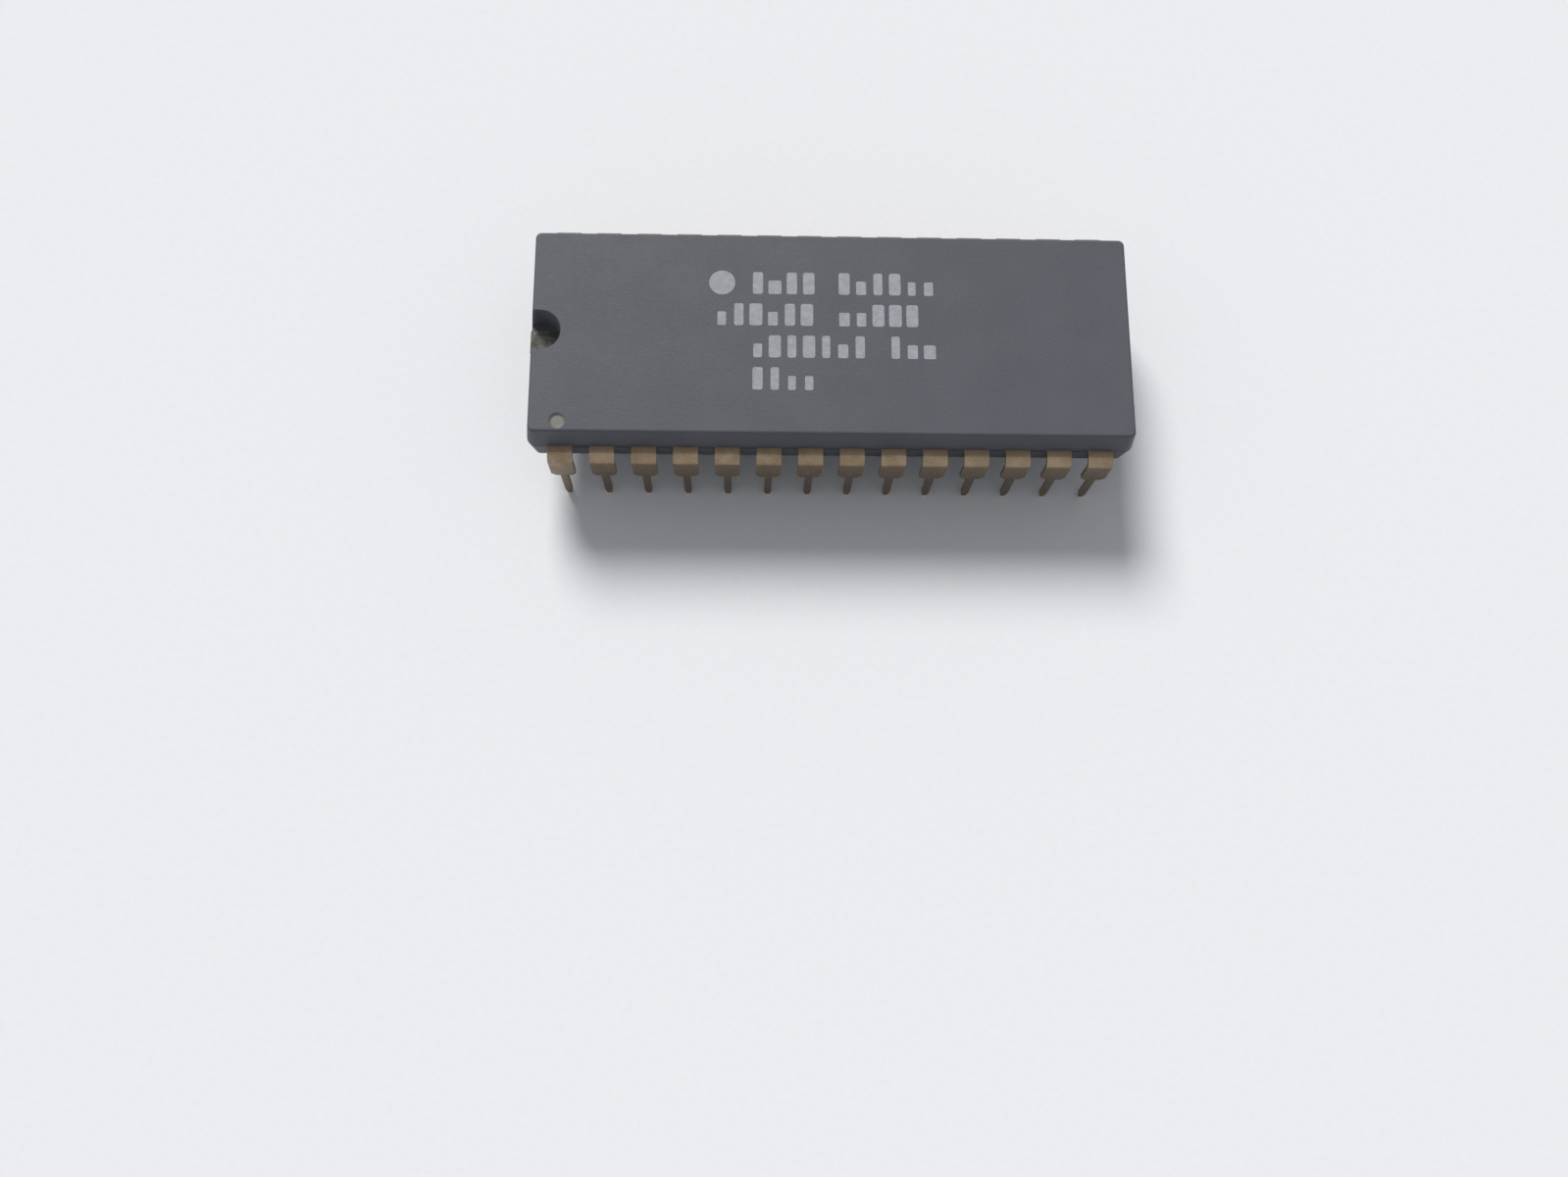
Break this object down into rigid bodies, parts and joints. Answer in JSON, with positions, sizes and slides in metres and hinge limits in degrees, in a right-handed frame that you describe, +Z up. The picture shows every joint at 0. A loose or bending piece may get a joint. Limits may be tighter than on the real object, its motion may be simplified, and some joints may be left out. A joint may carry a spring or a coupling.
{
  "type": "mask rom chip",
  "caption": "Plastic dual in-line memory chip with a moulded body, two rows of formed leads, an end notch and a lead-one dimple, with its die and bond wires inside.",
  "frame": {"origin": "centre of the footprint, on the plane of the lead tips that the chip stands on", "axes": "+X along the body away from the notch, +Y across the body towards leads 15 to 28, +Z up"},
  "size_m": [0.0372, 0.0154, 0.0077],
  "materials": {
    "mould_resin": "matt moulded epoxy, dark blue-grey, with a fine grain",
    "tinned_metal": "dull tin plating, tarnished to a warm tan",
    "frame_metal": "bare stamped nickel-iron strip",
    "silver_glue": "grey silver-filled glue",
    "silicon": "polished silicon, dark blue-grey",
    "gold": "bright gold wire"
  },
  "bodies": {
    "root": {"moulded_body": "mould_resin", "lead_01": "tinned_metal", "lead_02": "tinned_metal", "lead_03": "tinned_metal", "lead_04": "tinned_metal", "lead_05": "tinned_metal", "lead_06": "tinned_metal", "lead_07": "tinned_metal", "lead_08": "tinned_metal", "lead_09": "tinned_metal", "lead_10": "tinned_metal", "lead_11": "tinned_metal", "lead_12": "tinned_metal", "lead_13": "tinned_metal", "lead_14": "tinned_metal", "lead_15": "tinned_metal", "lead_16": "tinned_metal", "lead_17": "tinned_metal", "lead_18": "tinned_metal", "lead_19": "tinned_metal", "lead_20": "tinned_metal", "lead_21": "tinned_metal", "lead_22": "tinned_metal", "lead_23": "tinned_metal", "lead_24": "tinned_metal", "lead_25": "tinned_metal", "lead_26": "tinned_metal", "lead_27": "tinned_metal", "lead_28": "tinned_metal", "die_paddle": "frame_metal", "die_glue": "silver_glue", "die": "silicon", "bond_wire_01": "gold", "bond_wire_02": "gold", "bond_wire_03": "gold", "bond_wire_04": "gold", "bond_wire_05": "gold", "bond_wire_06": "gold", "bond_wire_07": "gold", "bond_wire_08": "gold", "bond_wire_09": "gold", "bond_wire_10": "gold", "bond_wire_11": "gold", "bond_wire_12": "gold", "bond_wire_13": "gold", "bond_wire_14": "gold", "bond_wire_15": "gold", "bond_wire_16": "gold", "bond_wire_17": "gold", "bond_wire_18": "gold", "bond_wire_19": "gold", "bond_wire_20": "gold", "bond_wire_21": "gold", "bond_wire_22": "gold", "bond_wire_23": "gold", "bond_wire_24": "gold", "bond_wire_25": "gold", "bond_wire_26": "gold", "bond_wire_27": "gold", "bond_wire_28": "gold"}
  },
  "joints": []
}
